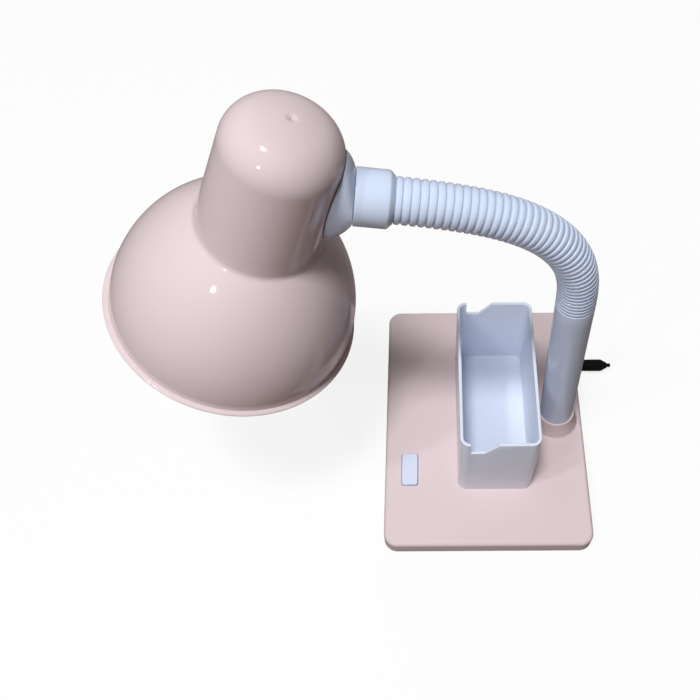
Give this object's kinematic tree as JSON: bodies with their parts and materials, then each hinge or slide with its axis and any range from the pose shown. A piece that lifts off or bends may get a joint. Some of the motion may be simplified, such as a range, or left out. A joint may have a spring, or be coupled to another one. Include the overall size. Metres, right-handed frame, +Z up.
{
  "type": "desk lamp",
  "caption": "Desk lamp with a bell shade on a corrugated gooseneck, a push switch and a pen tray on its weighted base.",
  "frame": {"origin": "centre of the underside of the base pad, on the desk", "axes": "+X across the base towards the stem, +Y from the front edge to the back edge, +Z up"},
  "size_m": [0.3328, 0.2, 0.3176],
  "materials": {
    "pink_plastic": "satin",
    "white_plastic": "satin",
    "black_plastic": "matte",
    "black_rubber": "matte",
    "steel": "satin",
    "brass": "satin",
    "bulb_white": "satin"
  },
  "bodies": {
    "base": {"base_shell": "pink_plastic", "base_cover": "black_plastic", "base_pad": "black_rubber", "cover_screws": "steel", "base_weight": "steel", "weight_screws": "steel", "switch_body": "black_plastic", "pen_tray": "white_plastic", "tray_screws": "steel", "cord_bush": "black_rubber", "neck_stem": "white_plastic", "stem_washer": "steel", "stem_nut": "steel"},
    "button": {"switch_button": "white_plastic"},
    "link_1": {"neck_link_1": "white_plastic"},
    "link_2": {"neck_link_2": "white_plastic"},
    "link_3": {"neck_link_3": "white_plastic"},
    "link_4": {"neck_link_4": "white_plastic"},
    "link_5": {"neck_link_5": "white_plastic"},
    "link_6": {"neck_link_6": "white_plastic"},
    "link_7": {"neck_link_7": "white_plastic"},
    "link_8": {"neck_link_8": "white_plastic"},
    "link_9": {"neck_link_9": "white_plastic"},
    "link_10": {"neck_link_10": "white_plastic"},
    "link_11": {"neck_link_11": "white_plastic"},
    "link_12": {"neck_link_12": "white_plastic"},
    "link_13": {"neck_link_13": "white_plastic"},
    "link_14": {"neck_link_14": "white_plastic", "head_collar": "white_plastic"},
    "head": {"swivel_nipple": "steel", "swivel_nut": "steel", "head_saddle": "white_plastic", "shade": "pink_plastic", "cap_nut": "steel", "holder_bracket": "steel", "bracket_screws": "steel", "lamp_holder": "black_plastic", "holder_nut": "steel", "holder_sleeve": "brass", "holder_contact": "brass", "bulb_cap": "steel", "bulb_body": "bulb_white", "bulb_globe": "bulb_white"}
  },
  "joints": [
    {"name": "button_press", "type": "slide", "parent": "base", "child": "button", "axis": [0, 0, -1], "range_m": [0, 0.0014], "stiffness_N_per_m": 400, "springref_m": -0.001},
    {"name": "neck_bend_1", "type": "hinge", "parent": "base", "child": "link_1", "pos_m": [0.04761, 0, 0.16926], "axis": [0, -1, 0], "range_deg": [-4.2, 4.2]},
    {"name": "neck_side_1", "type": "hinge", "parent": "link_1", "child": "link_2", "pos_m": [0.04706, 0, 0.17855], "axis": [0.997, 0, 0.0768], "range_deg": [-4.2, 4.2]},
    {"name": "neck_bend_2", "type": "hinge", "parent": "link_2", "child": "link_3", "pos_m": [0.04597, 0, 0.18807], "axis": [0, -1, 0], "range_deg": [-4.2, 4.2]},
    {"name": "neck_side_2", "type": "hinge", "parent": "link_3", "child": "link_4", "pos_m": [0.04393, 0, 0.19772], "axis": [0.9651, 0, 0.2621], "range_deg": [-4.2, 4.2]},
    {"name": "neck_bend_3", "type": "hinge", "parent": "link_4", "child": "link_5", "pos_m": [0.04057, 0, 0.2073], "axis": [0, -1, 0], "range_deg": [-4.2, 4.2]},
    {"name": "neck_side_3", "type": "hinge", "parent": "link_5", "child": "link_6", "pos_m": [0.03566, 0, 0.21651], "axis": [0.8417, 0, 0.5399], "range_deg": [-4.2, 4.2]},
    {"name": "neck_bend_4", "type": "hinge", "parent": "link_6", "child": "link_7", "pos_m": [0.02915, 0, 0.22502], "axis": [0, -1, 0], "range_deg": [-4.2, 4.2]},
    {"name": "neck_side_4", "type": "hinge", "parent": "link_7", "child": "link_8", "pos_m": [0.02113, 0, 0.23256], "axis": [0.6249, 0, 0.7807], "range_deg": [-4.2, 4.2]},
    {"name": "neck_bend_5", "type": "hinge", "parent": "link_8", "child": "link_9", "pos_m": [0.01183, 0, 0.23897], "axis": [0, -1, 0], "range_deg": [-4.2, 4.2]},
    {"name": "neck_side_5", "type": "hinge", "parent": "link_9", "child": "link_10", "pos_m": [0.00152, 0, 0.24424], "axis": [0.4007, 0, 0.9162], "range_deg": [-4.2, 4.2]},
    {"name": "neck_bend_6", "type": "hinge", "parent": "link_10", "child": "link_11", "pos_m": [-0.00957, 0, 0.24848], "axis": [0, -1, 0], "range_deg": [-4.2, 4.2]},
    {"name": "neck_side_6", "type": "hinge", "parent": "link_11", "child": "link_12", "pos_m": [-0.02124, 0, 0.25189], "axis": [0.248, 0, 0.9688], "range_deg": [-4.2, 4.2]},
    {"name": "neck_bend_7", "type": "hinge", "parent": "link_12", "child": "link_13", "pos_m": [-0.03337, 0, 0.2547], "axis": [0, -1, 0], "range_deg": [-4.2, 4.2]},
    {"name": "neck_side_7", "type": "hinge", "parent": "link_13", "child": "link_14", "pos_m": [-0.04587, 0, 0.25709], "axis": [0.1729, 0, 0.9849], "range_deg": [-4.2, 4.2]},
    {"name": "head_swivel", "type": "hinge", "parent": "link_14", "child": "head", "pos_m": [-0.07865, 0, 0.26221], "axis": [-0.9888, 0, 0.1495], "range_deg": [-90, 90]}
  ],
  "couplings": [
    {"joint": "neck_bend_2", "follows": "neck_bend_1", "ratio": 1},
    {"joint": "neck_side_2", "follows": "neck_side_1", "ratio": 1},
    {"joint": "neck_bend_3", "follows": "neck_bend_1", "ratio": 1},
    {"joint": "neck_side_3", "follows": "neck_side_1", "ratio": 1},
    {"joint": "neck_bend_4", "follows": "neck_bend_1", "ratio": 1},
    {"joint": "neck_side_4", "follows": "neck_side_1", "ratio": 1},
    {"joint": "neck_bend_5", "follows": "neck_bend_1", "ratio": 1},
    {"joint": "neck_side_5", "follows": "neck_side_1", "ratio": 1},
    {"joint": "neck_bend_6", "follows": "neck_bend_1", "ratio": 1},
    {"joint": "neck_side_6", "follows": "neck_side_1", "ratio": 1},
    {"joint": "neck_bend_7", "follows": "neck_bend_1", "ratio": 1},
    {"joint": "neck_side_7", "follows": "neck_side_1", "ratio": 1}
  ]
}
